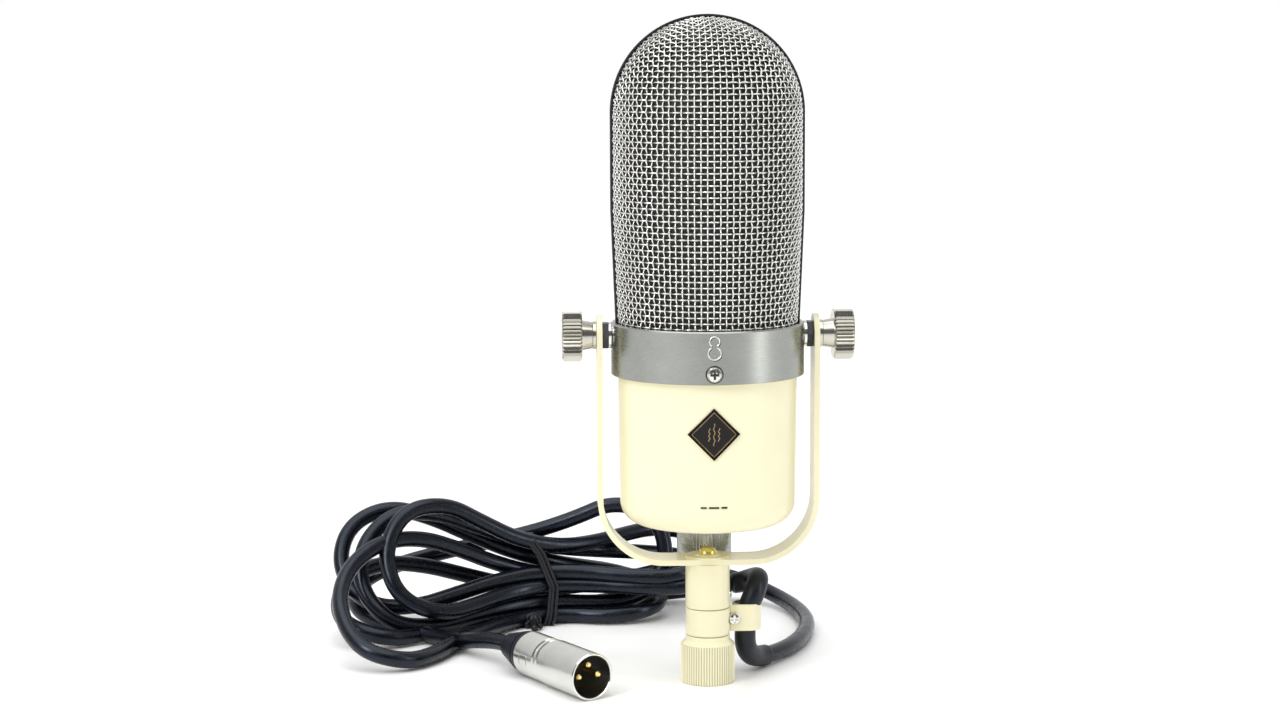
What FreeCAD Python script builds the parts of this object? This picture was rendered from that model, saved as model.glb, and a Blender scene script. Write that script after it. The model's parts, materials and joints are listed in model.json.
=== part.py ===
"""Ribbon microphone in a U-shaped yoke, with its captive lead and plug.

Millimetres. The origin is the centre of the threaded base's bottom face. +Z is up, the front looks
along -Y, and the tilt axis runs along X through the two clamp knobs.
"""
import FreeCAD, Part
import math
import os

os.makedirs("parts", exist_ok=True)
V = FreeCAD.Vector
UP = V(0, 0, 1)

# ---------------------------------------------------------------- driving dimensions
GAP = 0.05                  # working clearance of fits and turning faces
NUT_R, NUT_TOP = 11.0, 19.4
NUT_TEETH, KNURL_DEPTH = 62, 0.28
THREAD_MINOR_R, THREAD_DEPTH = 7.43, 10.4      # 5/8 inch, 27 threads per inch, female
CHAMBER_R, CHAMBER_TOP = 6.9, 13.0              # above the thread, round the spindle's retaining ring
SPINDLE_R = 4.5
POST_R, POST_BOTTOM, POST_TOP = 9.0, 30.9, 49.3
SPIGOT_R = 6.0

STRIP, STRIP_HALF = 2.2, 8.0                   # thickness and half width of the yoke's strip
YOKE_X, YOKE_BEND = 44.5, 27.0                 # outer face of an arm, outer bend radius
PIVOT_Z = 142.0
STUD_R = 3.0
KNOB_PITCH_TURNS = 2

RING_R, RING_IN, RING_BOTTOM, RING_TOP, LEDGE_TOP = 38.65, 36.98, 126.5, 147.2, 145.2
SCREW_Z = 130.7                                # cross-recess screws that hold the ring to the cup
CUP_TOP_R, CUP_LOW_R, CUP_BOTTOM, CUP_CORNER, CUP_WALL = 35.9, 35.3, 66.0, 9.0, 2.2
SPIGOT_TOP = 133.0

HEAD_R, HEAD_FOOT_R = 38.7, 36.9               # over the trim band: barrel, and foot in the ring
HEAD_FOOT_Z, HEAD_TAPER_Z, HEAD_CENTRE_Z = 145.3, 192.0, 230.5

GLAND_Y, GLAND_R, GLAND_BOTTOM = 20.5, 11.2, 46.0
CABLE_R, SLEEVE_R = 3.5, 4.35
STRAP = 0.8
STRAP_X, STRAP_Y, STRAP_SPREAD = 16.4, 5.7, 0.7
CLAMP_SCREW_X, CLAMP_SCREW_Z, CLAMP_HEAD_R = 10.9, 25.4, 2.6
STRAP_FACE = STRAP_Y - SLEEVE_R - GAP - STRAP  # front of the strap's screwed ear
SET_SCREW_Z = 35.0
SET_SCREW_AIM = V(math.cos(math.radians(24)), math.sin(math.radians(24)), 0)
COLLAR_LOW, COLLAR_HIGH = 19.75, 30.6

PLUG_R, PLUG_LENGTH, BOOT_LENGTH, MOUTH_R = 9.5, 47.0, 18.0, 8.5
PLUG_FACE = V(-47.8, -29.6, PLUG_R)
PLUG_AIM = V(0.50, -0.866, 0).normalize()      # from the boot to the open face
PLUG_TURN = math.degrees(math.atan2(PLUG_AIM.x, -PLUG_AIM.y))     # brings the plug's own Y upright

# Centre line of the lead, chosen by hand: gland, hook, strap, floor loop, into the hank.
LEAD_ROUTE = [V(0, GLAND_Y, GLAND_BOTTOM), V(0, GLAND_Y, 39.7), V(4.6, 21.4, 35.2), V(14.6, 23.4, 35.2),
              V(19.8, 20.6, 37.6), V(21.6, 15.0, 39.3), V(21.4, 9.7, 39.4), V(20.1, 5.8, 35.9),
              V(17.7, 5.0, 31.0), V(16.3, 5.6, 25.4), V(15.7, 5.8, 19.0), V(16.0, 7.8, 12.4), V(18.4, 12.8, 7.3),
              V(22.6, 19.4, 4.8), V(29.2, 27.6, 4.1), V(38.0, 41.0, 3.8), V(45.5, 60.0, 3.75), V(50.5, 84.0, 3.75),
              V(49.5, 109.0, 3.8), V(42.5, 132.0, 4.8), V(29.0, 147.0, 9.0), V(10.0, 150.0, 14.0),
              V(-6.0, 143.0, 17.0)]
LEAD_EDGES = 17             # straight and curved edges from the gland to the middle of the strap
SLEEVE_EDGES = (5, 27)      # first and last of the edges that the sleeve covers
BOOT_END = PLUG_FACE - PLUG_AIM * (PLUG_LENGTH + BOOT_LENGTH)
TAIL_ROUTE = [BOOT_END, BOOT_END - PLUG_AIM * 9, V(-97.4, 47.4, 7.0), V(-102.5, 56.0, 4.6),
              V(-109.0, 64.5, 3.9), V(-117.0, 71.5, 4.2)]

# Hank stations: x, centre y, half width in y, height.
HANK_STATIONS = [(-157, 76, 6, 16), (-151, 72, 25, 36), (-137, 66, 38, 54), (-118, 68, 43, 61),
                 (-98, 82, 37, 59), (-80, 101, 25, 47), (-64, 116, 15, 34), (-46, 122, 21, 48),
                 (-26, 121, 31, 50), (-8, 123, 32, 40), (8, 129, 24, 30), (18, 134, 9, 18)]
TIE_X, TIE_Y = -64.0, 116.0


# ---------------------------------------------------------------- helpers
def save(name, shape):
    """Write one named part, after checking it."""
    solids = shape.Solids
    if not solids or not shape.isValid():
        raise RuntimeError("bad shape: " + name)
    if len(solids) == 1:
        shape = solids[0]
    shape.exportStep("parts/" + name + ".step")
    box = shape.BoundBox
    print(f"{name:22s} solids {len(solids):2d}  volume {shape.Volume:10.1f}  z {box.ZMin:7.2f} {box.ZMax:7.2f}")


def rod(radius, start, end):
    """Cylinder between two points."""
    axis = end - start
    return Part.makeCylinder(radius, axis.Length, start, axis)


def post(radius, z0, z1, x=0.0, y=0.0):
    return rod(radius, V(x, y, z0), V(x, y, z1))


def block(x0, x1, y0, y1, z0, z1):
    return Part.makeBox(x1 - x0, y1 - y0, z1 - z0, V(x0, y0, z0))


def joined(shapes):
    first, *rest = shapes
    return first.fuse(rest).removeSplitter() if rest else first


def group(shapes):
    """Separate solids kept in one part."""
    return Part.makeCompound(shapes)


def spun(outline, angle=360):
    """Solid of revolution of a closed (radius, z) outline."""
    points = [V(r, 0, z) for r, z in outline]
    wire = Part.makePolygon(points + points[:1])
    return Part.Face(wire).revolve(V(0, 0, 0), UP, angle)


def extruded(points, direction):
    wire = Part.makePolygon(points + points[:1])
    return Part.Face(wire).extrude(direction)


def star(outer, inner, teeth, z0, z1):
    """Prism with a ribbed outline, for knurled parts."""
    points = []
    for i in range(2 * teeth):
        radius = outer if i % 2 == 0 else inner
        turn = math.pi * i / teeth
        points.append(V(radius * math.cos(turn), radius * math.sin(turn), z0))
    return extruded(points, V(0, 0, z1 - z0))


def hexagon(across_flats, z0, z1):
    radius = across_flats / math.sqrt(3)
    points = []
    for i in range(6):
        turn = math.radians(60 * i + 30)
        points.append(V(radius * math.cos(turn), radius * math.sin(turn), z0))
    return extruded(points, V(0, 0, z1 - z0))


def laid(shape, origin, direction):
    """Turn a shape built along +Z so that it points along a direction from an origin."""
    moved = shape.copy()
    moved.Placement = FreeCAD.Placement(origin, FreeCAD.Rotation(UP, direction))
    return moved


def pan_screw(head_r, head_h, shank_r, shank_length):
    """Cross-recess pan-head screw: the head rises from z = 0 and the shank goes down."""
    rim = 0.35 * head_h
    head = spun([(0, 0), (head_r, 0), (head_r, rim), (0.8 * head_r, head_h * 0.86), (0.4 * head_r, head_h),
                 (0, head_h)])
    slot, depth = 0.16 * head_r, 0.4 * head_h
    arm = 0.62 * head_r
    cross = joined([block(-arm, arm, -slot, slot, head_h - depth, head_h + 1),
                    block(-slot, slot, -arm, arm, head_h - depth, head_h + 1)])
    return joined([head.cut(cross), post(shank_r, -shank_length, 0)])


def route_edges(points):
    """Straight runs joined by tangent arcs, each arc as large as its two runs allow."""
    edges, radii = [], []
    here = points[0]
    for before, corner, after in zip(points, points[1:], points[2:]):
        back, ahead = (before - corner), (after - corner)
        shorter = min(back.Length, ahead.Length)
        back.normalize()
        ahead.normalize()
        turn = math.pi - back.getAngle(ahead)
        trim = 0.45 * shorter
        radii.append(trim / math.tan(turn / 2))
        enter, leave = corner + back * trim, corner + ahead * trim
        middle_way = (back + ahead).normalize()
        centre = corner + middle_way * math.sqrt(trim ** 2 + radii[-1] ** 2)
        middle = centre - middle_way * radii[-1]
        edges.append(Part.LineSegment(here, enter).toShape())
        edges.append(Part.Arc(enter, middle, leave).toShape())
        here = leave
    edges.append(Part.LineSegment(here, points[-1]).toShape())
    return edges, radii


def tube(edges, radius, label=""):
    """Round tube along a chain of tangent edges."""
    path = Part.Wire(edges)
    first = edges[0]
    start, aim = first.valueAt(first.FirstParameter), first.tangentAt(first.FirstParameter)
    section = Part.Wire([Part.Circle(start, aim, radius).toShape()])
    solid = path.makePipeShell([section], True, False, 2)
    if label:
        ideal = math.pi * radius ** 2 * path.Length
        print(f"  {label}: length {path.Length:.1f}, volume / (section x length) {solid.Volume / ideal:.4f}")
    return solid


def report_radii(label, points, radii):
    runs = [(b - a).Length for a, b in zip(points, points[1:])]
    print(f"  {label} runs " + " ".join(f"{r:.1f}" for r in runs))
    print(f"  {label} radii " + " ".join(f"{r:.1f}" for r in radii) + f"  (diameter {2 * CABLE_R:.1f})")


# ---------------------------------------------------------------- stand: base, post, clamp, yoke
def thread_nut():
    skirt = star(NUT_R, NUT_R - KNURL_DEPTH, NUT_TEETH, 0, NUT_TOP)
    envelope = spun([(0, 0), (NUT_R - 0.5, 0), (NUT_R, 0.5), (NUT_R, 15.6), (POST_R + 0.4, 17.2),
                     (POST_R, 17.6), (POST_R, NUT_TOP - 0.3), (POST_R - 0.3, NUT_TOP), (0, NUT_TOP)])
    collar = post(NUT_R - KNURL_DEPTH - 0.02, 15.4, NUT_TOP)
    body = joined([skirt.cut(post(NUT_R + 1, 15.4, NUT_TOP + 1)), collar]).common(envelope)
    mouth = spun([(0, -0.1), (THREAD_MINOR_R + 0.6, -0.1), (THREAD_MINOR_R, 0.5), (THREAD_MINOR_R, THREAD_DEPTH),
                  (CHAMBER_R, THREAD_DEPTH), (CHAMBER_R, CHAMBER_TOP), (SPINDLE_R + GAP, CHAMBER_TOP),
                  (SPINDLE_R + GAP, NUT_TOP + 1), (0, NUT_TOP + 1)])
    save("thread_nut", body.cut(mouth))


def stand_post():
    groove_low, groove_high = 11.6, 12.7
    outline = [(0, 10.6), (SPINDLE_R - 0.5, 10.6), (SPINDLE_R, 11.1), (SPINDLE_R, groove_low),
               (SPINDLE_R - 0.8, groove_low), (SPINDLE_R - 0.8, groove_high), (SPINDLE_R, groove_high),
               (SPINDLE_R, 19.6), (SPIGOT_R, 19.6), (SPIGOT_R, POST_BOTTOM), (POST_R - 0.3, POST_BOTTOM),
               (POST_R, POST_BOTTOM + 0.3), (POST_R, POST_TOP - 0.2), (POST_R - 0.2, POST_TOP), (0, POST_TOP)]
    body = spun(outline)
    bore = post(2.5, 36.0, POST_TOP + 1)
    save("stand_post", body.cut(bore).cut(side_hole()))


def side_hole():
    start = V(0, 0, SET_SCREW_Z)
    return rod(1.5, start, start + SET_SCREW_AIM * 12)


def post_set_screw():
    seat = V(0, 0, SET_SCREW_Z) + SET_SCREW_AIM * (POST_R - 0.15)
    screw = laid(pan_screw(2.1, 1.5, 1.5, 5.5), seat, SET_SCREW_AIM)
    save("post_set_screw", screw.cut(post(POST_R, 30, 40).cut(side_hole())))


def retaining_ring():
    washer = post(SPINDLE_R + 1.8, 11.7, 12.6).cut(post(SPINDLE_R - 0.75, 11, 13))
    mouth = block(-2.2, 2.2, -9, 0, 11, 13)
    save("retaining_ring", washer.cut(mouth))


def clamp_hole(radius, start, end):
    return rod(radius, V(CLAMP_SCREW_X, start, CLAMP_SCREW_Z), V(CLAMP_SCREW_X, end, CLAMP_SCREW_Z))


def clamp_collar():
    ring = spun([(SPIGOT_R + GAP, COLLAR_LOW), (POST_R - 0.25, COLLAR_LOW), (POST_R, COLLAR_LOW + 0.25),
                 (POST_R, COLLAR_HIGH - 0.25), (POST_R - 0.25, COLLAR_HIGH), (SPIGOT_R + GAP, COLLAR_HIGH)])
    back = STRAP_FACE + STRAP + 0.02
    ear = block(POST_R - 1.5, 11.9, back, back + 0.8, 20.3, COLLAR_HIGH - 0.1)
    relief = clamp_hole(CLAMP_HEAD_R + 0.1, -POST_R, STRAP_FACE)
    save("clamp_collar", joined([ring, ear]).cut(relief).cut(clamp_hole(0.8, 0, 4)))


def cable_strap():
    low, high = 20.2, 31.0
    inner = SLEEVE_R + GAP
    left, right = STRAP_X - STRAP_SPREAD, STRAP_X + STRAP_SPREAD

    def oval(radius):
        ends = [post(radius, low, high, x, STRAP_Y) for x in (left, right)]
        middle = block(left, right, STRAP_Y - radius, STRAP_Y + radius, low, high)
        return joined(ends + [middle])

    loop = oval(inner + STRAP).cut(oval(inner))
    ear = block(POST_R + 0.3, left, STRAP_FACE, STRAP_FACE + STRAP, low, high)
    save("cable_strap", joined([loop, ear]).cut(clamp_hole(0.8, STRAP_FACE - 1, STRAP_FACE + STRAP + 1)))


def clamp_screw():
    screw = pan_screw(CLAMP_HEAD_R, 1.7, 0.8, 1.6)
    save("clamp_screw", laid(screw, V(CLAMP_SCREW_X, STRAP_FACE, CLAMP_SCREW_Z), V(0, -1, 0)))


def yoke():
    """U of flat strip with round ends, extruded from its side outline."""
    low = POST_TOP
    inner_bend = YOKE_BEND - STRIP
    edges = []

    def corner(x, z, radius, start, end):
        turns = (start, (start + end) / 2, end)
        points = [V(x + radius * math.cos(a), 0, z + radius * math.sin(a)) for a in turns]
        return Part.Arc(*points).toShape()

    bend_z = low + YOKE_BEND
    bend_x = YOKE_X - YOKE_BEND
    top = PIVOT_Z + STRIP_HALF
    inner_x = YOKE_X - STRIP
    edges.append(Part.LineSegment(V(-bend_x, 0, low), V(bend_x, 0, low)).toShape())
    edges.append(corner(bend_x, bend_z, YOKE_BEND, -math.pi / 2, 0))
    edges.append(Part.LineSegment(V(YOKE_X, 0, bend_z), V(YOKE_X, 0, top)).toShape())
    edges.append(Part.LineSegment(V(YOKE_X, 0, top), V(inner_x, 0, top)).toShape())
    edges.append(Part.LineSegment(V(inner_x, 0, top), V(inner_x, 0, bend_z)).toShape())
    edges.append(corner(bend_x, bend_z, inner_bend, 0, -math.pi / 2))
    edges.append(Part.LineSegment(V(bend_x, 0, low + STRIP), V(-bend_x, 0, low + STRIP)).toShape())
    edges.append(corner(-bend_x, bend_z, inner_bend, -math.pi / 2, -math.pi))
    edges.append(Part.LineSegment(V(-inner_x, 0, bend_z), V(-inner_x, 0, top)).toShape())
    edges.append(Part.LineSegment(V(-inner_x, 0, top), V(-YOKE_X, 0, top)).toShape())
    edges.append(Part.LineSegment(V(-YOKE_X, 0, top), V(-YOKE_X, 0, bend_z)).toShape())
    edges.append(corner(-bend_x, bend_z, YOKE_BEND, -math.pi, -math.pi / 2))
    face = Part.Face(Part.Wire(edges))
    strip = face.extrude(V(0, 2 * STRIP_HALF, 0))
    strip.translate(V(0, -STRIP_HALF, 0))
    far = YOKE_X + 5
    ends = rod(STRIP_HALF, V(-far, 0, PIVOT_Z), V(far, 0, PIVOT_Z))
    below = block(-far, far, -STRIP_HALF, STRIP_HALF, 0, PIVOT_Z)
    strip = strip.common(joined([ends, below]))
    pivot_hole = rod(STUD_R + 0.06, V(-far, 0, PIVOT_Z), V(far, 0, PIVOT_Z))
    save("yoke", strip.cut(pivot_hole).cut(post(2.6, low - 1, low + STRIP + 1)))


def yoke_washer():
    low = POST_TOP + STRIP
    big = post(9.0, low, low + 0.7)
    small = post(5.0, low + 0.7, low + 1.2)
    save("yoke_washer", joined([big, small]).cut(post(2.6, low - 1, low + 3)))


def yoke_screw():
    low = POST_TOP + STRIP + 1.2
    dome = spun([(0, low), (3.7, low), (3.75, low + 0.4), (3.5, low + 1.3), (2.9, low + 2.1), (2.0, low + 2.7),
                 (1.0, low + 3.0), (0, low + 3.1)])
    save("yoke_screw", joined([dome, post(2.45, 37.5, low)]))


# ---------------------------------------------------------------- tilt hardware
def pivot_hardware():
    studs, nuts, washers = [], [], []
    for side in (-1, 1):
        aim = V(side, 0, 0)
        centre = V(0, 0, PIVOT_Z)
        studs.append(rod(STUD_R, centre + aim * 34.5, centre + aim * 53.5))
        nut = hexagon(10, 0, 2.5).cut(post(STUD_R, -1, 4))
        shaved = spun([(0, 0), (5.2, 0), (5.9, 0.5), (5.9, 2.0), (5.2, 2.5), (0, 2.5)])
        nuts.append(laid(nut.common(shaved), centre + aim * 39.7, aim))
        washer = post(5.2, 0, 1.0).cut(post(STUD_R, -1, 3))
        washers.append(laid(washer, centre + aim * RING_R, aim).cut(post(RING_R, 130, 150)))
    save("pivot_studs", group(studs))
    save("pivot_nuts", group(nuts))
    save("pivot_washers", group(washers))


def knobs():
    hole_r = STUD_R + 0.06
    for name, side in (("left", -1), ("right", 1)):
        aim = V(side, 0, 0)
        arm_face = V(side * (YOKE_X + 0.02), 0, PIVOT_Z)
        washer = spun([(hole_r, 0), (5.3, 0), (5.5, 0.2), (5.5, 1.4), (5.3, 1.6), (hole_r, 1.6)])
        save(name + "_knob_washer", laid(washer, arm_face, aim))
        grip = star(10.45, 9.7, 40, 4.2, 12.1)
        envelope = spun([(0, 0), (5.3, 0), (6.0, 4.2), (9.7, 4.2), (10.45, 5.0), (10.45, 11.3), (9.7, 12.1),
                         (0, 12.1)])
        hub = spun([(0, 0), (5.3, 0), (6.0, 4.3), (0, 4.3)])
        shape = joined([grip, hub]).common(envelope)
        dish = spun([(0, 11.7), (7.0, 11.7), (7.4, 12.3), (0, 12.3)])
        shape = shape.cut(dish).cut(post(hole_r, -1, 9.2))
        save(name + "_knob", laid(shape, arm_face + aim * 1.62, aim))


# ---------------------------------------------------------------- head: ring, cup, grille
def collar_ring():
    outline = [(RING_IN, RING_BOTTOM), (RING_R - 0.2, RING_BOTTOM), (RING_R, RING_BOTTOM + 0.2),
               (RING_R, RING_TOP - 0.5), (RING_R - 0.5, RING_TOP), (RING_IN, RING_TOP),
               (RING_IN, LEDGE_TOP), (33.5, LEDGE_TOP), (33.5, LEDGE_TOP - 1.9), (RING_IN, LEDGE_TOP - 1.9)]
    body = spun(outline)
    pivots = rod(STUD_R, V(-60, 0, PIVOT_Z), V(60, 0, PIVOT_Z))
    fixings = rod(1.5, V(0, -60, SCREW_Z), V(0, 60, SCREW_Z))
    save("collar_ring", body.cut(pivots).cut(fixings))


def ring_screws():
    screws = []
    for side in (-1, 1):
        screw = laid(pan_screw(3.0, 1.7, 1.5, 6.5), V(0, side * (RING_R - 0.1), SCREW_Z), V(0, side, 0))
        bed = post(RING_R, 120, 140).cut(rod(1.5, V(0, -60, SCREW_Z), V(0, 60, SCREW_Z)))
        screws.append(screw.cut(bed).Solids[0])
    save("ring_screws", group(screws))


def cup_solid(inset):
    """Filled cup outline, moved inwards by an inset; the bottom corner is an arc."""
    low, corner = CUP_BOTTOM + inset, CUP_CORNER - inset
    radius_low, radius_top = CUP_LOW_R - inset, CUP_TOP_R - inset
    diagonal = corner * math.sqrt(0.5)
    points = [V(0, 0, low), V(radius_low - corner, 0, low), V(radius_low, 0, low + corner)]
    bend = V(radius_low - corner + diagonal, 0, low + corner - diagonal)
    top = V(radius_top, 0, RING_BOTTOM)
    edges = [Part.LineSegment(points[0], points[1]).toShape(),
             Part.Arc(points[1], bend, points[2]).toShape(),
             Part.LineSegment(points[2], top).toShape(),
             Part.LineSegment(top, V(0, 0, RING_BOTTOM)).toShape(),
             Part.LineSegment(V(0, 0, RING_BOTTOM), points[0]).toShape()]
    return Part.Face(Part.Wire(edges)).revolve(V(0, 0, 0), UP, 360)


def body_cup():
    skin = cup_solid(0).cut(cup_solid(CUP_WALL))
    spigot = spun([(CUP_TOP_R - CUP_WALL, RING_BOTTOM), (RING_IN - 0.04, RING_BOTTOM), (RING_IN - 0.04, SPIGOT_TOP),
                   (CUP_TOP_R - CUP_WALL, SPIGOT_TOP)])
    pad = post(GLAND_R, CUP_BOTTOM, CUP_BOTTOM + CUP_WALL + 0.6, 0, GLAND_Y)
    pad = pad.common(spun([(0, 60), (CUP_LOW_R - 1.0, 60), (CUP_LOW_R - 1.0, 90), (0, 90)]))
    body = joined([skin, spigot, pad])
    fixings = rod(1.5, V(0, -60, SCREW_Z), V(0, 60, SCREW_Z))
    gland_hole = post(7.0, 60, 80, 0, GLAND_Y)
    save("body_cup", body.cut(fixings).cut(gland_hole))


def badge():
    """Diamond badge curved to the cup's front: a thin rim and a plate inside it."""
    centre_z = 106.8
    half = 10.3
    inner_half = half - 0.9

    def diamond(size):
        points = [V(size, -60, centre_z), V(0, -60, centre_z + size), V(-size, -60, centre_z),
                  V(0, -60, centre_z - size)]
        return extruded(points, V(0, 60, 0))

    surface = cup_solid(0)
    rim_skin = cup_solid(-0.75).cut(surface)
    plate_skin = cup_solid(-0.5).cut(surface)
    rim = rim_skin.common(diamond(half)).cut(diamond(inner_half))
    save("badge_rim", rim)
    save("badge_plate", plate_skin.common(diamond(inner_half)))


def head_solid(inset):
    """Filled outline of the head: foot, taper, barrel and hemisphere, moved inwards by an inset."""
    radius, foot = HEAD_R - inset, HEAD_FOOT_R - inset
    top = V(0, 0, HEAD_CENTRE_Z + radius)
    shoulder = V(radius, 0, HEAD_CENTRE_Z)
    bend = V(radius * math.sqrt(0.5), 0, HEAD_CENTRE_Z + radius * math.sqrt(0.5))
    points = [V(0, 0, HEAD_FOOT_Z), V(foot, 0, HEAD_FOOT_Z), V(foot, 0, RING_TOP), V(radius, 0, HEAD_TAPER_Z), shoulder]
    edges = [Part.LineSegment(a, b).toShape() for a, b in zip(points, points[1:])]
    edges.append(Part.Arc(shoulder, bend, top).toShape())
    edges.append(Part.LineSegment(top, points[0]).toShape())
    return Part.Face(Part.Wire(edges)).revolve(V(0, 0, 0), UP, 360)


def head_shell(outer, inner):
    return head_solid(outer).cut(head_solid(inner))


def arch(inset, half_width):
    """Slab of the head's front outline, foot to foot over the top, moved inwards by an inset."""
    radius, foot = HEAD_R - inset, HEAD_FOOT_R - inset
    side = [V(foot, -half_width, HEAD_FOOT_Z), V(foot, -half_width, RING_TOP), V(radius, -half_width, HEAD_TAPER_Z),
            V(radius, -half_width, HEAD_CENTRE_Z)]
    other = [V(-p.x, p.y, p.z) for p in reversed(side)]
    edges = [Part.LineSegment(a, b).toShape() for a, b in zip(side, side[1:])]
    edges.append(Part.Arc(side[-1], V(0, -half_width, HEAD_CENTRE_Z + radius), other[0]).toShape())
    edges += [Part.LineSegment(a, b).toShape() for a, b in zip(other, other[1:])]
    edges.append(Part.LineSegment(other[-1], side[0]).toShape())
    return Part.Face(Part.Wire(edges)).extrude(V(0, 2 * half_width, 0))


def grille():
    """Two grille halves and their fine liners, either side of a T-section trim band."""
    far, web_half = 60, 0.5
    band = arch(0, 2.0).cut(arch(0.7, 3.0))
    web = arch(0.7, web_half).cut(arch(2.9, 3.0))
    save("grille_band", joined([band, web]))
    for name, low, high in (("front", -far, -web_half - 0.02), ("rear", web_half + 0.02, far)):
        half = block(-far, far, low, high, 100, 300)
        save(name + "_grille", head_shell(0.78, 2.2).common(half))
        save(name + "_liner", head_shell(2.25, 2.85).common(half))


def cable_gland():
    thread_r, bore = 7.0, 5.5
    top = CUP_BOTTOM + CUP_WALL + 0.6
    ribbed = star(GLAND_R, GLAND_R - 0.35, 56, GLAND_BOTTOM + 0.6, 63.4)
    flange = post(GLAND_R, 63.4, CUP_BOTTOM)
    lip = spun([(0, GLAND_BOTTOM), (GLAND_R - 1.4, GLAND_BOTTOM), (GLAND_R - 0.5, GLAND_BOTTOM + 0.7),
                (0, GLAND_BOTTOM + 0.7)])
    thread = post(thread_r, CUP_BOTTOM, top + 4.0)
    body = joined([ribbed, flange, lip, thread]).cut(post(bore, GLAND_BOTTOM - 1, 80))
    bush = spun([(CABLE_R, GLAND_BOTTOM + 0.5), (bore - 1, GLAND_BOTTOM + 0.5), (bore, GLAND_BOTTOM + 2.5),
                 (bore, 62), (CABLE_R, 62)])
    nut = hexagon(15.5, top, top + 3.0).cut(post(thread_r, 60, 80))
    nut.rotate(V(0, 0, 0), UP, 30)
    for name, shape in (("cable_gland", body), ("gland_bush", bush), ("gland_nut", nut)):
        shape.translate(V(0, GLAND_Y, 0))
        save(name, shape)


# ---------------------------------------------------------------- ribbon motor inside the head
MOTOR_LOW, MOTOR_HIGH, MOTOR_BAR = 161.0, 231.0, 6.0
MAGNET_IN, MAGNET_OUT, MAGNET_HALF = 10.0, 22.0, 8.0
RIBBON_HALF, RIBBON_LOW, RIBBON_HIGH = 2.35, 172.0, 220.0
POSTS = [(x, y) for x in (-20, 20) for y in (-6.5, 6.5)]


def chassis_plate():
    plate = post(RING_IN - 0.1, SPIGOT_TOP, SPIGOT_TOP + 2.5)
    for x in (-6, 6):
        plate = plate.cut(post(2.0, 130, 140, x, -15.2))
    for x in (-12, 12):
        plate = plate.cut(post(1.5, 130, 140, x, -6))
    save("chassis_plate", plate)


def motor_posts():
    top = SPIGOT_TOP + 2.5
    save("motor_posts", group([post(2.5, top, 158.0, x, y) for x, y in POSTS]))
    grommets = [spun([(0, 0), (3.4, 0), (2.6, 1.5), (3.4, 3.0), (0, 3.0)]) for _ in POSTS]
    for grommet, (x, y) in zip(grommets, POSTS):
        grommet.translate(V(x, y, 158.0))
    save("shock_grommets", group(grommets))


def motor_frame():
    width = MAGNET_OUT + 4.0
    outer = block(-width, width, -MAGNET_HALF - 1, MAGNET_HALF + 1, MOTOR_LOW, MOTOR_HIGH)
    window = block(-MAGNET_OUT, MAGNET_OUT, -20, 20, MOTOR_LOW + MOTOR_BAR, MOTOR_HIGH - MOTOR_BAR)
    frame = outer.cut(window)
    screws = []
    for z in (182.0, 210.0):
        frame = frame.cut(rod(1.5, V(-width - 1, 0, z), V(width + 1, 0, z)))
        for side in (-1, 1):
            screw = pan_screw(2.8, 1.6, 1.5, width - MAGNET_OUT)
            screws.append(laid(screw, V(side * width, 0, z), V(side, 0, 0)))
    save("motor_frame", frame)
    save("motor_screws", group(screws))


def magnets_and_poles():
    low, high = MOTOR_LOW + MOTOR_BAR, MOTOR_HIGH - MOTOR_BAR
    for name, side in (("left", -1), ("right", 1)):
        xs = sorted((side * MAGNET_IN, side * MAGNET_OUT))
        magnet = block(xs[0], xs[1], -MAGNET_HALF, MAGNET_HALF, low, high)
        save(name + "_magnet", magnet)
        tip = RIBBON_HALF + 0.35
        points = [V(side * MAGNET_IN, -MAGNET_HALF, 173), V(side * tip, -2.2, 173), V(side * tip, 2.2, 173),
                  V(side * MAGNET_IN, MAGNET_HALF, 173)]
        save(name + "_pole_piece", extruded(points, V(0, 0, 46)))


def ribbon():
    """Corrugated foil, drawn thicker than the real one."""
    folds, swing, thick = 24, 0.5, 0.14
    step = (RIBBON_HIGH - RIBBON_LOW) / (2 * folds)
    front = []
    for i in range(2 * folds + 1):
        front.append(V(-RIBBON_HALF, swing if i % 2 else -swing, RIBBON_LOW + step * i))
    back = [p + V(0, thick, 0) for p in reversed(front)]
    save("ribbon", extruded(front + back, V(2 * RIBBON_HALF, 0, 0)))


def ribbon_clamps():
    low, high = MOTOR_LOW + MOTOR_BAR, MOTOR_HIGH - MOTOR_BAR
    for name, z0, z1 in (("bottom", low + 1, RIBBON_LOW), ("top", RIBBON_HIGH, high - 1)):
        save(name + "_ribbon_clamp", block(-8, 8, -3, 3, z0, z1))
    pads = [block(-9, 9, -5, 5, low, low + 1), block(-9, 9, -5, 5, high - 1, high)]
    save("clamp_insulators", group(pads))


def transformer():
    can = spun([(0, 74), (15.2, 74), (16, 74.8), (16, 111.2), (15.2, 112), (0, 112)])
    can.translate(V(0, -8, 0))
    save("transformer", can)
    bar = block(-17, 17, -11.5, -2.5, 112, 114)
    feet = [post(3.0, 114, SPIGOT_TOP, x, -6) for x in (-12, 12)]
    bores = [post(1.5, 120, 140, x, -6) for x in (-12, 12)]
    save("transformer_bracket", joined([bar] + feet).cut(group(bores)))
    screws = []
    for x in (-12, 12):
        screw = pan_screw(2.8, 1.6, 1.5, 9)
        screw.translate(V(x, -6, SPIGOT_TOP + 2.5))
        screws.append(screw)
    save("transformer_screws", group(screws))


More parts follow.
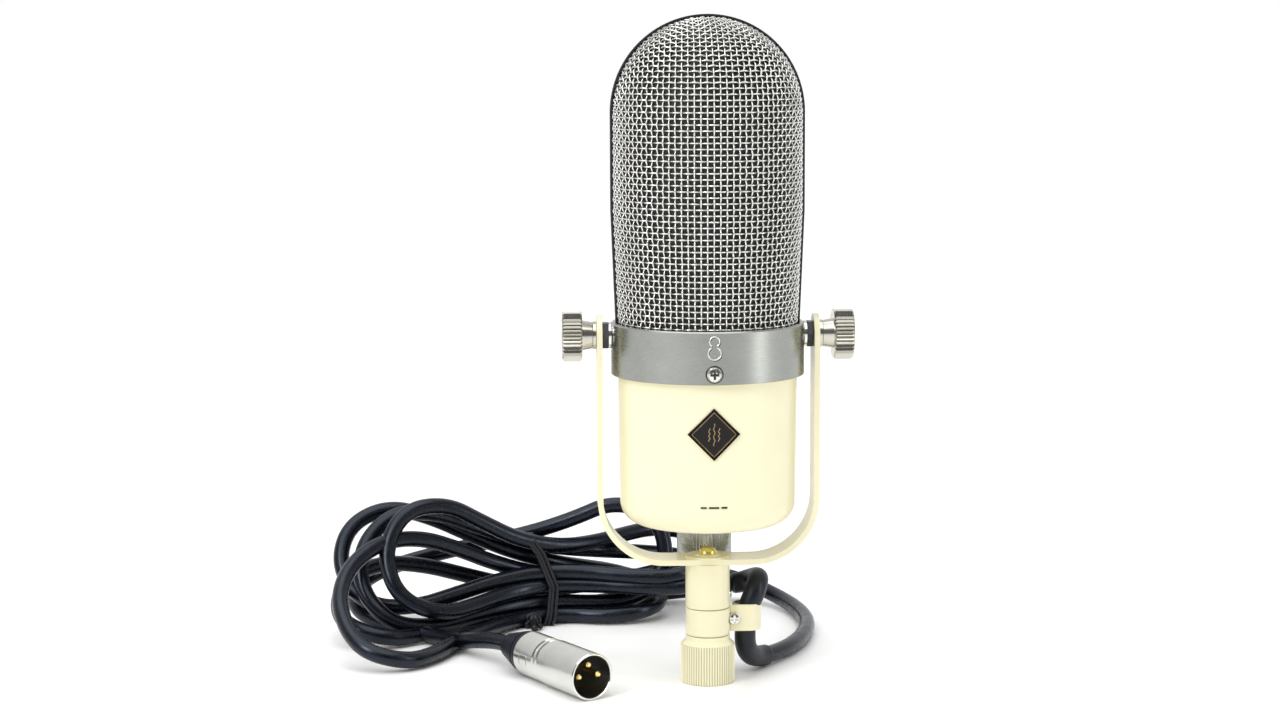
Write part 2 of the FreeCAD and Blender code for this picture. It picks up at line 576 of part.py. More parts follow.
def wiring():
    wires = []
    for x, z in ((-6, 170.0), (6, 222.0)):
        route = [V(x, -3, z), V(x, -8, z), V(x, -12.6, z - 5), V(x, -13.4, z - 18), V(x, -14.6, 137), V(x, -15.4, 126),
                 V(x, -15.2, 112)]
        wires.append(tube(route_edges(route)[0], 0.6))
    save("ribbon_leads", group(wires))
    route = [V(0, GLAND_Y, GLAND_BOTTOM), V(0, GLAND_Y, 80), V(0, 19.0, 92), V(0, 15.0, 99), V(0, 8.7, 100)]
    save("inner_lead", tube(route_edges(route)[0], CABLE_R))


# ---------------------------------------------------------------- lead, hank and plug
def lead_and_sleeve():
    edges, radii = route_edges(LEAD_ROUTE)
    report_radii("lead", LEAD_ROUTE, radii)
    save("lead_cable", tube(edges[:LEAD_EDGES], CABLE_R, "lead"))
    save("cord_run", tube(edges[LEAD_EDGES:], CABLE_R, "run"))
    covered = edges[SLEEVE_EDGES[0]:SLEEVE_EDGES[1]]
    save("clamp_sleeve", tube(covered, SLEEVE_R).cut(tube(covered, CABLE_R)))
    edges, radii = route_edges(TAIL_ROUTE)
    report_radii("tail", TAIL_ROUTE, radii)
    save("cord_tail", tube(edges, CABLE_R, "tail"))


def hank_outline(x, y, half_width, height, sides=28):
    """Closed oval standing on the floor, as a wire across X."""
    points = []
    for i in range(sides):
        turn = 2 * math.pi * i / sides
        points.append(V(x, y + half_width * math.cos(turn), 0.4 + height / 2 * (1 + math.sin(turn))))
    return Part.makePolygon(points + points[:1])


def cord_hank():
    wires = [hank_outline(*station) for station in HANK_STATIONS]
    save("cord_hank", Part.makeLoft(wires, True, True))
    bands = []
    for x in (TIE_X - 2.6, TIE_X + 0.4):
        outer = Part.Face(hank_outline(x, TIE_Y, 17.2, 37.6)).extrude(V(2.2, 0, 0))
        inner = Part.Face(hank_outline(x - 1, TIE_Y, 16.0, 35.2)).extrude(V(4.2, 0, 0))
        inner.translate(V(0, 0, 1.2))
        bands.append(outer.cut(inner))
    knot = block(TIE_X - 2.6, TIE_X + 2.6, TIE_Y - 20.5, TIE_Y - 15.6, 11.0, 17.0)
    save("hank_tie", joined(bands + [knot]))


def plug():
    def place(shape):
        plug_piece = laid(shape, BOOT_END, PLUG_AIM)
        plug_piece.rotate(BOOT_END, PLUG_AIM, PLUG_TURN)
        return plug_piece

    rear, front = BOOT_LENGTH, BOOT_LENGTH + PLUG_LENGTH
    socket = 15.0
    shell = spun([(6.5, rear), (8.9, rear), (9.2, rear + 0.4), (9.2, rear + 14.4), (8.5, rear + 14.8), (8.5, rear + 15.8),
                  (9.2, rear + 16.2), (9.2, rear + 17.4), (8.5, rear + 17.8), (8.5, rear + 18.8), (PLUG_R, rear + 19.4),
                  (PLUG_R, front - 0.4), (PLUG_R - 0.4, front), (MOUTH_R + 0.2, front), (MOUTH_R, front - 0.3),
                  (MOUTH_R, front - socket - 5), (8.0, front - socket - 5), (8.0, rear + 12), (6.5, rear + 12)])
    window = block(-12, -8.9, -2.4, 2.4, rear + 4.6, rear + 10.6)
    window = window.cut(block(-12, -8, -1.8, 1.8, rear + 5.2, rear + 10.0))
    save("plug_shell", place(shell.cut(window)))
    insert = spun([(0, rear + 12), (8.0, rear + 12), (8.0, front - socket - 5), (MOUTH_R, front - socket - 5),
                   (MOUTH_R, front - socket), (0, front - socket)])
    keyway = block(-1.2, 1.2, -9.5, -7.2, front - socket - 3, front)
    save("plug_insert", place(insert.cut(keyway)))
    pins = []
    for degrees in (0, 90, 180):
        turn = math.radians(degrees)
        x, y = 4.4 * math.cos(turn), 4.4 * math.sin(turn)
        pin = spun([(0, front - socket), (1.2, front - socket), (1.2, front - 2.8), (0.7, front - 2.2), (0, front - 2.2)])
        pin.translate(V(x, y, 0))
        pins.append(pin)
    save("plug_pins", place(group(pins)))
    outline = [(CABLE_R, 0), (4.6, 0), (4.9, 0.5)]
    rings = 6
    for i in range(rings):
        z = 1.0 + 2.3 * i
        radius = 5.3 + 0.6 * i
        outline += [(radius, z), (radius + 0.25, z + 1.3), (radius - 0.25, z + 1.6), (radius - 0.1, z + 2.1)]
    outline += [(8.6, 15.2), (8.9, 16.2), (8.9, rear), (CABLE_R, rear)]
    save("plug_boot", place(spun(outline)))
    save("plug_collet", place(spun([(CABLE_R, rear), (6.4, rear), (6.4, rear + 9.0), (CABLE_R, rear + 9.0)])))


thread_nut()
stand_post()
post_set_screw()
retaining_ring()
clamp_collar()
cable_strap()
clamp_screw()
yoke()
yoke_washer()
yoke_screw()
pivot_hardware()
knobs()
collar_ring()
ring_screws()
body_cup()
badge()
grille()
cable_gland()
chassis_plate()
motor_posts()
motor_frame()
magnets_and_poles()
ribbon()
ribbon_clamps()
transformer()
wiring()
lead_and_sleeve()
cord_hank()
plug()
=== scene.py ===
import json
import math
import random

import bpy
import numpy as np
from mathutils import Matrix, Vector


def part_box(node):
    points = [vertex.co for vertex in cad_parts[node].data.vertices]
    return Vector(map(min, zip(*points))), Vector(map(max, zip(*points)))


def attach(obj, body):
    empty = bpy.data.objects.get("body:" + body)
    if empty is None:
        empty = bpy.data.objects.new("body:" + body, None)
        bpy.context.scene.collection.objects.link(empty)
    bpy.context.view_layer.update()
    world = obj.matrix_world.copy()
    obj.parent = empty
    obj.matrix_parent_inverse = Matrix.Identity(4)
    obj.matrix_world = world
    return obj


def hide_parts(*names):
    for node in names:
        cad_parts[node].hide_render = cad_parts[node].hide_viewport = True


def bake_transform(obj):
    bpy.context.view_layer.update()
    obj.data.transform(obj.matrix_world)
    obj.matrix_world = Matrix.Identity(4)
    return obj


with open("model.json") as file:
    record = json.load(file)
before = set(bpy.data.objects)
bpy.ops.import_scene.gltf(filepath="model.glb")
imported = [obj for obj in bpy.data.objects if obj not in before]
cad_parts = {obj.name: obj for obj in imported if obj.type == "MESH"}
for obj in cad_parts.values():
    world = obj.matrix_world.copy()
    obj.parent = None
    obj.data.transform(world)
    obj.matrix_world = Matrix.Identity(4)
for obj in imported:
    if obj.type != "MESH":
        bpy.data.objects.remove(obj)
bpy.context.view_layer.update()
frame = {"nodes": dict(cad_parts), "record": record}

MM = 0.001


# ---------------------------------------------------------------- helpers
def mm(*numbers):
    """A point given in millimetres, as a vector in metres."""
    return Vector(numbers) * MM


def add_object(name, data):
    piece = bpy.data.objects.new(name, data)
    bpy.context.scene.collection.objects.link(piece)
    return piece


def mesh_piece(name, parts):
    """One mesh object from a list of (vertices, faces) parts, smooth shaded."""
    vertices, faces, start = [], [], 0
    for corners, loops in parts:
        vertices.append(np.asarray(corners, float).reshape(-1, 3))
        faces.extend([tuple(i + start for i in loop) for loop in loops])
        start += len(vertices[-1])
    mesh = bpy.data.meshes.new(name)
    mesh.from_pydata(np.vstack(vertices).tolist(), [], faces)
    mesh.polygons.foreach_set("use_smooth", [True] * len(mesh.polygons))
    mesh.update()
    return add_object(name, mesh)


def finish_piece(piece, material, slot, body, *replaced):
    """Gives a piece its material, the CAD nodes it stands for and the body it rides on; its slot is not used.
    """
    piece.data.materials.append(material)
    if replaced:
        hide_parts(*replaced)
    if body:
        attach(piece, body)
    return piece


def route_curve(name, route, steps=10):
    """A smooth curve that has the route's points as its control points."""
    data = bpy.data.curves.new(name, "CURVE")
    data.dimensions = "3D"
    data.resolution_u = steps
    spline = data.splines.new("NURBS")
    spline.points.add(len(route) - 1)
    for point, place in zip(spline.points, route):
        point.co = (*place, 1.0)
    spline.use_endpoint_u = True
    spline.order_u = 3
    return add_object(name, data)


def centreline(curve):
    """The points along a curve that has no bevel yet."""
    mesh = bpy.data.meshes.new_from_object(curve)
    line = [vertex.co.copy() for vertex in mesh.vertices]
    bpy.data.meshes.remove(mesh)
    return line


def tube(path, radius, sides, closed=False):
    """Vertices and faces of a round tube that follows a path, with as little twist as possible."""
    path = np.array([tuple(point) for point in path], float)
    count = len(path)
    if closed:
        along = np.roll(path, -1, 0) - np.roll(path, 1, 0)
    else:
        along = np.gradient(path, axis=0)
    along /= np.linalg.norm(along, axis=1)[:, None]
    across = np.zeros_like(path)
    across[0] = np.cross(along[0], np.eye(3)[np.argmin(np.abs(along[0]))])
    for i in range(count):
        if i:
            across[i] = across[i - 1] - along[i] * (across[i - 1] @ along[i])
        across[i] /= np.linalg.norm(across[i])
    upward = np.cross(along, across)
    angle = np.arange(sides) * 2 * math.pi / sides
    spokes = np.cos(angle)[None, :, None] * across[:, None] + np.sin(angle)[None, :, None] * upward[:, None]
    sizes = np.broadcast_to(np.asarray(radius, float), (count,))[:, None, None]
    vertices = (path[:, None] + spokes * sizes).reshape(-1, 3)
    faces = []
    for i in range(count if closed else count - 1):
        low, high = i * sides, (i + 1) % count * sides
        for k in range(sides):
            n = (k + 1) % sides
            faces.append((low + k, low + n, high + n, high + k))
    if not closed:
        faces.append(tuple(range(sides))[::-1])
        faces.append(tuple(range((count - 1) * sides, count * sides)))
    return vertices, faces


# ---------------------------------------------------------------- camera and studio
CAMERA_AROUND, CAMERA_AWAY, CAMERA_HEIGHT = math.radians(-4.12), 1.03836, 0.26462
CAMERA_TURN, CAMERA_DOWN, CAMERA_ROLL = math.radians(1.493), math.radians(7.3), math.radians(-0.231)
CAMERA_LENS, SENSOR_WIDTH = 73.378, 36.0
KEY_POWER, FILL_POWER, SKY_POWER = 7.0, 3.5, 2.0
ROOM_FROM_FRONT_TO_BACK = ((0.0, 0.12), (0.2, 0.24), (0.34, 0.62), (0.5, 0.4), (0.85, 0.9))


def make_camera():
    data = bpy.data.cameras.new("camera")
    data.lens, data.sensor_width = CAMERA_LENS, SENSOR_WIDTH
    data.clip_start, data.clip_end = 0.02, 50
    camera = add_object("camera", data)
    place = Vector((math.sin(CAMERA_AROUND), -math.cos(CAMERA_AROUND), 0)) * CAMERA_AWAY
    place.z = CAMERA_HEIGHT
    aim = Matrix.Rotation(CAMERA_AROUND + CAMERA_TURN, 4, "Z")
    aim = aim @ Matrix.Rotation(math.pi / 2 - CAMERA_DOWN, 4, "X") @ Matrix.Rotation(CAMERA_ROLL, 4, "Z")
    camera.matrix_world = Matrix.Translation(place) @ aim
    bpy.context.scene.camera = camera


def area_light(name, place, target, width, height, power):
    data = bpy.data.lights.new(name, "AREA")
    data.shape = "RECTANGLE"
    data.size, data.size_y, data.energy = width, height, power
    light = add_object(name, data)
    light.location = place
    light.rotation_euler = (Vector(target) - Vector(place)).to_track_quat("-Z", "Y").to_euler()


def make_studio():
    """A white backdrop for the camera, and a room with darker and lighter sides for everything else."""
    scene = bpy.context.scene
    scene.view_settings.view_transform = "Standard"
    world = bpy.data.worlds.new("studio")
    scene.world = world
    world.use_nodes = True
    nodes, links = world.node_tree.nodes, world.node_tree.links
    room = nodes["Background"]
    room.inputs["Strength"].default_value = 1.0
    direction = nodes.new("ShaderNodeTexCoord")
    split = nodes.new("ShaderNodeSeparateXYZ")
    ramp = nodes.new("ShaderNodeValToRGB")
    stops = ramp.color_ramp.elements
    for _ in range(3):
        stops.new(0.5)
    for stop, (place, grey) in zip(stops, ROOM_FROM_FRONT_TO_BACK):
        stop.position, stop.color = place, (grey, grey, grey * 1.01, 1)
    shift = nodes.new("ShaderNodeMath")
    shift.operation, shift.inputs[1].default_value = "MULTIPLY_ADD", 0.5
    shift.inputs[2].default_value = 0.5
    backdrop = nodes.new("ShaderNodeBackground")
    backdrop.inputs["Color"].default_value = (1, 1, 1, 1)
    ray = nodes.new("ShaderNodeLightPath")
    choice = nodes.new("ShaderNodeMixShader")
    links.new(direction.outputs["Generated"], split.inputs[0])
    links.new(split.outputs["Y"], shift.inputs[0])
    links.new(shift.outputs[0], ramp.inputs[0])
    links.new(ramp.outputs[0], room.inputs["Color"])
    links.new(ray.outputs["Is Camera Ray"], choice.inputs[0])
    links.new(room.outputs[0], choice.inputs[1])
    links.new(backdrop.outputs[0], choice.inputs[2])
    links.new(choice.outputs[0], nodes["World Output"].inputs["Surface"])
    middle = Vector((0, 0, 0.14))
    area_light("key_left", (-0.75, -0.75, 0.75), middle, 0.45, 0.7, KEY_POWER)
    area_light("fill_right", (0.95, -0.55, 0.5), middle, 0.25, 0.9, FILL_POWER)
    sky = bpy.data.lights.new("overhead", "SUN")
    sky.energy, sky.angle = SKY_POWER, math.radians(70)
    add_object("overhead", sky).rotation_euler = (math.radians(12), math.radians(-8), 0)


def make_floor():
    reach = 40.0
    corners = [(-reach, -reach, 0), (reach, -reach, 0), (reach, reach, 0), (-reach, reach, 0)]
    floor = mesh_piece("floor", [(corners, [(0, 1, 2, 3)])])
    floor.data.materials.append(floor_material())


# ---------------------------------------------------------------- materials
def linear(red, green, blue):
    """A colour given as display values from 0 to 255, as the linear colour that a shader takes."""
    parts = [v / 255 for v in (red, green, blue)]
    return tuple(v / 12.92 if v <= 0.04045 else ((v + 0.055) / 1.055) ** 2.4 for v in parts) + (1.0,)


def shade(colour, factor):
    return tuple(min(1.0, v * factor) for v in colour[:3]) + (1.0,)


class Finish:
    """A principled material and the few node set-ups that the finishes share."""

    def __init__(self, name, colour, roughness, **sockets):
        self.material = bpy.data.materials.new(name)
        self.material.use_nodes = True
        self.material.diffuse_color = colour
        self.nodes, self.links = self.material.node_tree.nodes, self.material.node_tree.links
        self.shader = self.nodes["Principled BSDF"]
        self.colour, self.roughness = colour, roughness
        self.shader.inputs["Base Color"].default_value = colour
        self.shader.inputs["Roughness"].default_value = roughness
        for socket, amount in sockets.items():
            self.shader.inputs[socket.replace("_", " ")].default_value = amount
        self.place = self.nodes.new("ShaderNodeTexCoord").outputs["Object"]

    def noise(self, size, stretch=(1, 1, 1), detail=4.0):
        """A noise value whose grain is size metres across, drawn out along an axis where stretch is small."""
        mapping = self.nodes.new("ShaderNodeMapping")
        mapping.inputs["Scale"].default_value = [s / size for s in stretch]
        noise = self.nodes.new("ShaderNodeTexNoise")
        noise.inputs["Scale"].default_value = 1.0
        noise.inputs["Detail"].default_value = detail
        self.links.new(self.place, mapping.inputs["Vector"])
        self.links.new(mapping.outputs[0], noise.inputs["Vector"])
        return noise.outputs[0]

    def maths(self, operation, *values):
        node = self.nodes.new("ShaderNodeMath")
        node.operation = operation
        for socket, value in zip(node.inputs, values):
            if isinstance(value, (int, float)):
                socket.default_value = value
            else:
                self.links.new(value, socket)
        return node.outputs[0]

    def ramp(self, value, stops):
        ramp = self.nodes.new("ShaderNodeValToRGB")
        elements = ramp.color_ramp.elements
        while len(elements) < len(stops):
            elements.new(0.5)
        for element, (place, colour) in zip(elements, stops):
            element.position = place
            element.color = colour if hasattr(colour, "__len__") else (colour, colour, colour, 1)
        self.links.new(value, ramp.inputs[0])
        return ramp.outputs[0]

    def vary_colour(self, value, darker, lighter):
        stops = [(0.3, shade(self.colour, darker)), (0.7, shade(self.colour, lighter))]
        self.links.new(self.ramp(value, stops), self.shader.inputs["Base Color"])
        return self

    def vary_roughness(self, value, spread):
        stops = [(0.3, self.roughness - spread), (0.7, self.roughness + spread)]
        self.links.new(self.ramp(value, stops), self.shader.inputs["Roughness"])
        return self

    def bump(self, value, depth, strength):
        bump = self.nodes.new("ShaderNodeBump")
        bump.inputs["Distance"].default_value = depth
        bump.inputs["Strength"].default_value = strength
        self.links.new(value, bump.inputs["Height"])
        self.links.new(bump.outputs[0], self.shader.inputs["Normal"])
        return self


def enamel(name, colour):
    """Satin enamel with a fine orange peel."""
    finish = Finish(name, colour, 0.34, Coat_Weight=0.35, Coat_Roughness=0.12)
    return finish.bump(finish.noise(0.0011, detail=2), 0.00002, 0.35)


def paint(name, colour):
    """Enamel with a little unevenness in its gloss and a faint colour drift."""
    finish = enamel(name, colour)
    finish.vary_colour(finish.noise(0.022), 0.965, 1.02)
    return finish.vary_roughness(finish.noise(0.006), 0.05).material


def groove_shaded_paint(name, colour, ribs, top, darker):
    """Enamel with painted shade in the grooves of a ribbed skirt: darker between the ribs, up to the height
    where the ribs end.
    """
    finish = enamel(name, colour)
    split = finish.nodes.new("ShaderNodeSeparateXYZ")
    finish.links.new(finish.place, split.inputs[0])
    turn = finish.maths("ARCTAN2", split.outputs["Y"], split.outputs["X"])
    rib = finish.maths("COSINE", finish.maths("MULTIPLY", turn, ribs))
    above = finish.maths("GREATER_THAN", split.outputs["Z"], top)
    rib = finish.maths("MAXIMUM", finish.maths("MULTIPLY_ADD", rib, 0.5, 0.5), above)
    # painted shade: the colour falls to darker in the grooves between the ribs
    stops = [(0.0, shade(colour, darker)), (0.6, colour)]
    finish.links.new(finish.ramp(rib, stops), finish.shader.inputs["Base Color"])
    return finish.material


def brushed(name, colour, roughness, grain, depth=0.00001):
    """Metal with a fine grain, drawn out along the axes where grain is small."""
    finish = Finish(name, colour, roughness, Metallic=1.0)
    lines = finish.noise(0.00022, grain, detail=5)
    finish.vary_colour(finish.noise(0.012), 0.93, 1.03)
    finish.vary_roughness(lines, 0.07)
    return finish.bump(lines, depth, 0.5).material


def rubber(name, colour, roughness, depth=0.00003, sheen=0.0, tint=(1, 1, 1, 1)):
    """Moulded or extruded rubber: fine grain, patchy gloss and, where it is dry, a soft sheen."""
    finish = Finish(name, colour, roughness, Sheen_Weight=sheen, Specular_IOR_Level=0.42, Specular_Tint=tint)
    finish.vary_colour(finish.noise(0.009), 0.75, 1.3)
    finish.vary_roughness(finish.noise(0.004), 0.07)
    return finish.bump(finish.noise(0.0007, detail=3), depth, 0.5).material


def plastic(name, colour, roughness, **sockets):
    """Moulded plastic or hard lacquer, slightly uneven in colour and gloss."""
    finish = Finish(name, colour, roughness, **sockets)
    finish.vary_colour(finish.noise(0.005), 0.88, 1.08)
    finish.vary_roughness(finish.noise(0.002), 0.05)
    return finish.bump(finish.noise(0.0004), 0.00001, 0.4).material


def liner_cloth(name, colour):
    """The fine dark cloth behind the woven wire: mottled threads with a coarse bump."""
    finish = Finish(name, colour, 0.6, Metallic=0.4)
    finish.vary_colour(finish.noise(0.0006, detail=2), 0.5, 1.6)
    return finish.bump(finish.noise(0.0003, detail=1), 0.00006, 0.8).material


def floor_material():
    finish = Finish("studio_floor", linear(250, 250, 250), 0.38, Specular_IOR_Level=0.35)
    finish.vary_roughness(finish.noise(0.03), 0.06)
    return finish.bump(finish.noise(0.012, detail=2), 0.00012, 0.2).material


ROUND_GRAIN, FLAT_GRAIN, EVEN_GRAIN = (0.03, 0.03, 1.0), (0.02, 1.0, 1.0), (1.0, 1.0, 1.0)
CREAM = linear(238, 232, 196)
NUT_RIBS, NUT_RIBS_TOP = 62, 16 * MM


def make_finishes():
    """A material for each of the record's slots, and two more: the nut's enamel with painted shade in its
    grooves, and the badge's edge.
    """
    return {
        "cream_paint": paint("cream_enamel", CREAM),
        "cream_brass": brushed("lacquered_brass", linear(222, 208, 128), 0.3, ROUND_GRAIN),
        "satin_nickel": brushed("satin_nickel", linear(163, 165, 160), 0.3, ROUND_GRAIN, depth=0.000004),
        "bright_nickel": brushed("bright_nickel", linear(226, 225, 220), 0.12, EVEN_GRAIN),
        "knob_nickel": brushed("knob_nickel", linear(196, 193, 182), 0.2, (1.0, 0.05, 0.05)),
        "mesh_steel": brushed("bright_wire", linear(222, 222, 218), 0.24, EVEN_GRAIN),
        "black_trim": plastic("black_enamel", linear(34, 34, 36), 0.3),
        "liner_cloth": liner_cloth("liner_cloth", linear(44, 43, 41)),
        "badge_black": plastic("badge_black", linear(20, 15, 14), 0.38, Specular_IOR_Level=0.3),
        "badge_gold": brushed("badge_gold", linear(172, 150, 112), 0.3, EVEN_GRAIN),
        # the nut's cream enamel, with painted shade in the grooves of its ribs
        "groove_shaded_cream": groove_shaded_paint("groove_shaded_enamel", CREAM, NUT_RIBS, NUT_RIBS_TOP, 0.5),
        "badge_edge": brushed("badge_edge", linear(40, 33, 28), 0.35, EVEN_GRAIN),
        "motor_steel": brushed("zinc_plate", linear(188, 190, 194), 0.35, FLAT_GRAIN),
        "magnet": brushed("sintered_magnet", linear(120, 120, 124), 0.55, EVEN_GRAIN),
        "ribbon_foil": brushed("ribbon_foil", linear(232, 232, 235), 0.2, EVEN_GRAIN),
        "clamp_brass": brushed("machined_brass", linear(214, 180, 104), 0.28, FLAT_GRAIN),
        "insulator": plastic("laminate", linear(150, 92, 46), 0.5),
        "grommet_rubber": rubber("grommet_rubber", linear(40, 40, 42), 0.6, sheen=0.15),
        "wire_insulation": plastic("wire_insulation", linear(176, 48, 40), 0.4),
        "cable_rubber": rubber("cable_rubber", linear(7, 9, 17), 0.27, depth=0.000012,
                               tint=(0.74, 0.84, 1.0, 1)),
        "sleeve_rubber": rubber("sleeve_rubber", linear(11, 12, 17), 0.42, tint=(0.8, 0.88, 1.0, 1)),
        "tie_black": plastic("tie_plastic", linear(14, 16, 23), 0.45, Specular_IOR_Level=0.4),
        "plug_nickel": brushed("plug_nickel", linear(216, 216, 211), 0.22, EVEN_GRAIN),
        "plug_black": plastic("plug_black", linear(18, 18, 20), 0.35),
        "pin_gold": brushed("pin_gold", linear(232, 200, 128), 0.2, EVEN_GRAIN),
        "boot_rubber": rubber("boot_rubber", linear(14, 15, 24), 0.45, tint=(0.76, 0.84, 1.0, 1)),
    }


def paint_cad_nodes():
    """Puts each slot's finish on the record's nodes, and their own on the badge's rim and on the nut, whose
    grooves get painted shade.
    """
    for part in frame["record"]["subparts"]:
        node = frame["nodes"][part["node"]]
        for holder in node.material_slots:
            holder.material = FINISHES[part["material_slot"]]
    for name, finish in (("badge_rim", "badge_edge"), ("thread_nut", "groove_shaded_cream")):
        for holder in frame["nodes"][name].material_slots:
            holder.material = FINISHES[finish]


# ---------------------------------------------------------------- lead, cord, sleeve and tie
CABLE_RADIUS, LEAD_LENGTH, CORD_LENGTH = 3.5 * MM, 0.0526, 2.456
GLAND_EXIT, STRAP_PASS = mm(0, 20.5, 46), mm(17.0, 5.4, 28.1)
SLEEVE_RADIUS, SLEEVE_SIDES = 4.35 * MM, 28
SLEEVE_START, SLEEVE_END = mm(11.8, 22.8, 35.2), mm(26.2, 23.9, 4.4)
TEAR_DEPTH = (-0.9, 1.4)
SLEEVE_SEARCH = 200                       # points of the cord's line among which the sleeve ends
PLUG_AIM = Vector((0.50, -0.866, 0)).normalized()
BOOT_END = mm(-47.8, -29.6, 9.5) - PLUG_AIM * 65 * MM

LEAD_ROUTE = [GLAND_EXIT, mm(0, 20.5, 39.7), mm(4.6, 21.4, 35.2), mm(14.6, 23.4, 35.2),
              mm(19.8, 20.6, 37.6), mm(21.6, 15, 39.3), mm(21.4, 9.7, 39.4), mm(20.1, 5.8, 35.9),
              mm(17.7, 5.0, 31.0), STRAP_PASS]
RUN_ROUTE = [STRAP_PASS, mm(16.3, 5.6, 25.4), mm(15.7, 5.8, 19.0), mm(16.0, 7.8, 12.4),
             mm(18.4, 12.8, 7.3), mm(22.6, 19.4, 4.8), mm(29.2, 27.6, 4.1), mm(38, 41, 3.8),
             mm(45.5, 60, 3.75), mm(50.5, 84, 3.75), mm(49.5, 109, 3.8), mm(42.5, 132, 4.8),
             mm(29, 147, 9), mm(10, 150, 14), mm(-6, 143, 17), mm(-24, 133, 15)]
TAIL_ROUTE = [mm(-117, 71.5, 4.2), mm(-109, 64.5, 3.9), mm(-102.5, 56, 4.6), mm(-97.4, 47.4, 7.0),
              BOOT_END - PLUG_AIM * 9 * MM, BOOT_END]

# The hank's turns, in millimetres: each goes left round a standing loop, back through the tie and right
# round a flatter loop. They differ in size and fan out to the left, where nothing holds them. The points
# were fitted to loops that another script laid out, and four folds were then eased by hand.
TIE_X = -64.0
HANK_ROUTE = [mm(*place) for place in (
    (-42.1, 127.9, 13.1), (-61.7, 123.1, 12.3), (-81.2, 119.6, 14.8), (-100.2, 116.6, 20.2),
    (-119, 113.2, 26), (-138.1, 107, 28.6), (-153.1, 93.8, 23.8), (-155.7, 75.1, 14.6),
    (-149.5, 63.5, 9.5), (-133, 60.5, 4.6), (-119.5, 71.5, 3.8), (-108, 83.1, 3.8), (-94, 97.4, 3.8),
    (-79, 110.6, 3.8), (-61.9, 120.9, 3.8), (-44.1, 129.9, 3.8), (-26.8, 139.7, 3.8), (-8.6, 149, 4),
    (11.8, 144.8, 6.6), (18.4, 125, 12.1), (8.8, 106.8, 17.4), (-11.9, 104.1, 19), (-30.9, 110.6, 18.4),
    (-50, 116.6, 18.1), (-70, 117.1, 20.5), (-87.8, 110.4, 27.1), (-103.4, 101.1, 35.5),
    (-119.3, 91.1, 42.7), (-135.9, 79.7, 43.5), (-148.7, 65.7, 36.2), (-153.1, 49, 25.4),
    (-148.2, 32.4, 14.8), (-139.5, 20.8, 8.5), (-122.8, 21, 4.3), (-112.2, 35.5, 3.8),
    (-105.8, 52.4, 3.8), (-96, 69.9, 3.8), (-86.1, 87.1, 3.8), (-73.4, 103.2, 3.8), (-53.6, 107.8, 3.8),
    (-34.1, 100.3, 4.1), (-14.7, 107.6, 6.2), (-11.4, 129, 9.5), (-18.5, 142, 11.5), (-34.5, 143.8, 16),
    (-47.5, 133.5, 20), (-61.2, 124.7, 24), (-79.7, 119.9, 30.2), (-97.7, 117.1, 38.4),
    (-115.3, 114.3, 47.3), (-134.5, 110.5, 53.4), (-152.2, 102.1, 46.1), (-155.7, 90.4, 28.7),
    (-142.5, 81.9, 14.3), (-122.1, 86.1, 12.6), (-104.6, 95.2, 16.2), (-87.1, 104.1, 20),
    (-68.1, 110, 22.6), (-48, 109.1, 22.8), (-28.8, 103.9, 21.6), (-8.5, 101, 21), (8.4, 112.9, 24.5),
    (10.3, 133.4, 30.4), (3.5, 143.5, 33), (-13, 147.3, 35.1), (-27.5, 138, 34.2), (-40.8, 127.2, 32.7),
    (-58.1, 117.1, 32.5), (-76.3, 110, 37.3), (-92.4, 103.1, 46.9), (-108.2, 95.4, 57),
    (-126.9, 86.5, 55.6), (-135.3, 77.4, 38.3), (-128.3, 68.9, 20), (-109.5, 73.7, 11.9),
    (-94.9, 87.9, 13.3), (-80.6, 101.7, 15.4), (-62.2, 110, 16.7), (-42, 108.4, 16.8),
    (-22.8, 103.3, 16.4), (-2.2, 102.2, 16.4), (13.4, 116.2, 17.6), (12.8, 137.6, 19.5),
    (-4.9, 149.1, 22), (-24.2, 141.7, 25), (-41.2, 131.9, 27.9), (-59.2, 123.8, 31),
    (-77.7, 117.9, 35.9), (-95.2, 112, 43.4), (-112.4, 105.5, 51.2), (-131.4, 97.8, 52.8),
    (-145, 88, 40.5), (-145.6, 76.8, 23), (-131.7, 69.3, 8.7), (-112.6, 77.2, 5.8), (-97.5, 90.2, 7.3),
    (-81.9, 102.6, 8.9), (-63.4, 110.6, 9.3), (-43.5, 111.8, 7.7), (-22.9, 111.6, 9.3),
    (-9.3, 114.9, 24.9), (-13.8, 119.4, 45.8), (-33.3, 123.1, 52.1), (-52, 124.9, 43.7),
    (-70.9, 125.6, 37.6), (-90.5, 125.4, 33.5), (-110, 124.8, 29.4), (-129.4, 122.4, 25.1),
    (-147.1, 112.9, 19.5), (-150.3, 93.6, 11.5), (-135.4, 79.9, 6.4),
)]


def make_cords():
    """The lead from the gland to the strap, and the long cord with its hank, up to the plug's boot."""
    guide = route_curve("lead_guide", LEAD_ROUTE)
    lead_line = centreline(guide)
    bpy.data.objects.remove(guide)
    lead = mesh_piece("lead", [tube(lead_line, CABLE_RADIUS, 20)])
    finish_piece(lead, FINISHES["cable_rubber"], "cable_rubber", None, "lead_cable")
    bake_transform(lead)

    cord = route_curve("long_cord", RUN_ROUTE + HANK_ROUTE + TAIL_ROUTE)
    line = centreline(cord)
    cord.data.bevel_depth, cord.data.bevel_resolution, cord.data.use_fill_caps = CABLE_RADIUS, 5, True
    finish_piece(cord, FINISHES["cable_rubber"], "cable_rubber", "stand",
                 "cord_run", "cord_hank", "cord_tail")
    return lead_line, line, cord


def cut_line(line, start, end):
    """The stretch of a line between the points nearest to start and end."""
    first = min(range(len(line)), key=lambda i: (line[i] - start).length)
    last = min(range(first, len(line)), key=lambda i: (line[i] - end).length)
    return line[first:last + 1]


